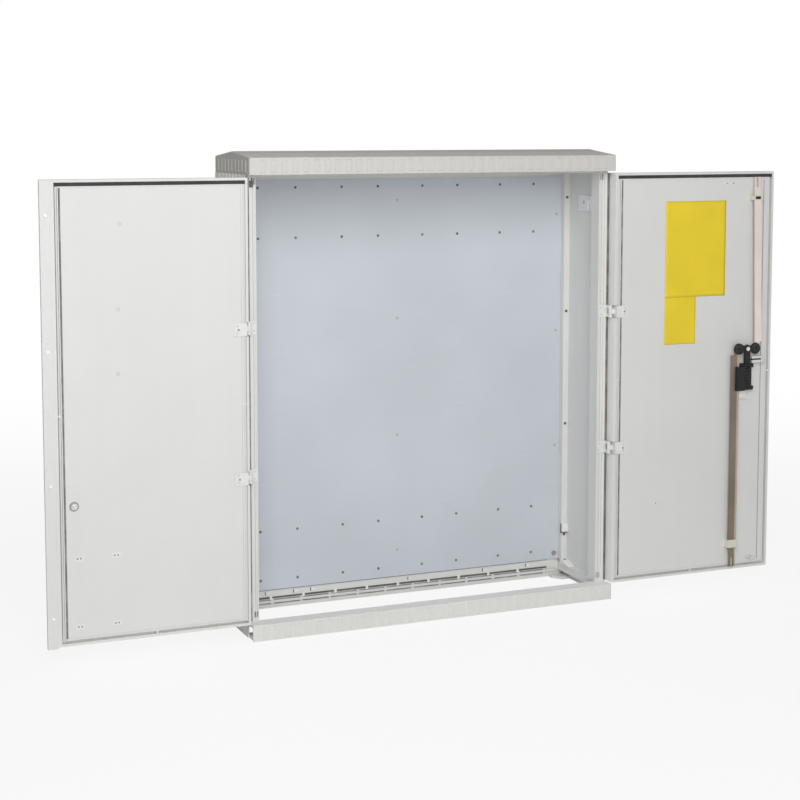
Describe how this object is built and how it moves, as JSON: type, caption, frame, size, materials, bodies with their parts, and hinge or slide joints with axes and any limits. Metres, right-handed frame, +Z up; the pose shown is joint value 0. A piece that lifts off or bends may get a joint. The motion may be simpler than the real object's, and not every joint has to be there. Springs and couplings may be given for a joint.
{
  "type": "roadside utility cabinet",
  "caption": "Glass-fibre roadside distribution cabinet with two side-hinged doors, rod lock with swing handle, mounting plate and open cable base.",
  "frame": {"origin": "middle of the base on the ground, the middle of the four base bolt holes", "axes": "+Z up, the doors are on the -Y side, +X to the right seen from the front"},
  "size_m": [2.215, 0.3369, 1.326],
  "materials": {
    "light_grp": "light grey moulded glass-fibre, satin",
    "roof_grp": "light grey moulded glass-fibre, satin",
    "plate_grey": "blue-grey laminate board",
    "seal_rubber": "black sealing profile",
    "zinc_steel": "zinc plated",
    "bright_steel": "bright zinc",
    "black_plastic": "black filled plastic",
    "hinge_metal": "light painted",
    "yellow_paper": "yellow sheet"
  },
  "bodies": {
    "cabinet": {"base_front_rail": "light_grp", "base_gusset_front_left": "light_grp", "base_gusset_front_right": "light_grp", "base_gusset_rear_left": "light_grp", "base_gusset_rear_right": "light_grp", "base_rear_rail": "light_grp", "base_side_rail_left": "light_grp", "base_side_rail_right": "light_grp", "blank_plate": "light_grp", "frame_seal_left": "seal_rubber", "frame_seal_right": "seal_rubber", "hinge_left_lower_frame_leaf": "hinge_metal", "hinge_left_lower_pin": "bright_steel", "hinge_left_upper_frame_leaf": "hinge_metal", "hinge_left_upper_pin": "bright_steel", "hinge_right_lower_frame_leaf": "hinge_metal", "hinge_right_lower_pin": "bright_steel", "hinge_right_upper_frame_leaf": "hinge_metal", "hinge_right_upper_pin": "bright_steel", "jamb_left": "light_grp", "jamb_right": "light_grp", "lintel": "light_grp", "mounting_plate": "plate_grey", "mounting_plate_screws": "bright_steel", "rear_post_left": "light_grp", "rear_post_right": "light_grp", "rear_post_screws": "bright_steel", "rear_wall": "light_grp", "roof": "roof_grp", "side_wall_left": "light_grp", "side_wall_right": "light_grp"},
    "left_door": {"closing_strip": "light_grp", "closing_strip_screws": "bright_steel", "hinge_left_lower_door_leaf": "hinge_metal", "hinge_left_upper_door_leaf": "hinge_metal", "left_door_inner_panel": "light_grp", "left_door_shell": "light_grp", "left_door_stud": "bright_steel", "left_door_top_seal": "seal_rubber"},
    "right_door": {"handle_plate": "black_plastic", "hinge_right_lower_door_leaf": "hinge_metal", "hinge_right_upper_door_leaf": "hinge_metal", "label_sheet_large": "yellow_paper", "label_sheet_small": "yellow_paper", "lock_bracket": "zinc_steel", "lock_cylinder": "bright_steel", "lock_housing": "black_plastic", "lower_rod_guide": "black_plastic", "right_door_inner_panel": "light_grp", "right_door_shell": "light_grp", "right_door_stud": "bright_steel", "right_door_top_seal": "seal_rubber", "upper_rod_guide": "black_plastic"},
    "lock": {"lock_cam": "black_plastic", "lock_spindle": "bright_steel", "cam_screw": "bright_steel", "lever_pin": "bright_steel"},
    "lever": {"handle_lever": "black_plastic"},
    "upper_rod": {"upper_rod": "zinc_steel"},
    "lower_rod": {"lower_rod": "zinc_steel"}
  },
  "joints": [
    {"name": "left_door_hinge", "type": "hinge", "parent": "cabinet", "child": "left_door", "pos_m": [-0.5525, -0.136, 0.65], "axis": [0, 0, 1], "range_deg": [0, 180]},
    {"name": "right_door_hinge", "type": "hinge", "parent": "cabinet", "child": "right_door", "pos_m": [0.5525, -0.136, 0.65], "axis": [0, 0, -1], "range_deg": [0, 180]},
    {"name": "lock_turn", "type": "hinge", "parent": "right_door", "child": "lock", "pos_m": [1.007, -0.14, 0.726], "axis": [0, -1, 0], "range_deg": [0, 90]},
    {"name": "handle_lift", "type": "hinge", "parent": "lock", "child": "lever", "pos_m": [1.003, -0.0994, 0.726], "axis": [0, 0, -1], "range_deg": [0, 55]},
    {"name": "upper_rod_slide", "type": "slide", "parent": "right_door", "child": "upper_rod", "axis": [-0.0247, 0, 0.9997], "range_m": [0, 0.029]},
    {"name": "lower_rod_slide", "type": "slide", "parent": "right_door", "child": "lower_rod", "axis": [0, 0, -1], "range_m": [0, 0.029]}
  ],
  "couplings": [
    {"joint": "upper_rod_slide", "follows": "lock_turn", "m_per_rad": 0.018462},
    {"joint": "lower_rod_slide", "follows": "lock_turn", "m_per_rad": 0.018462}
  ]
}
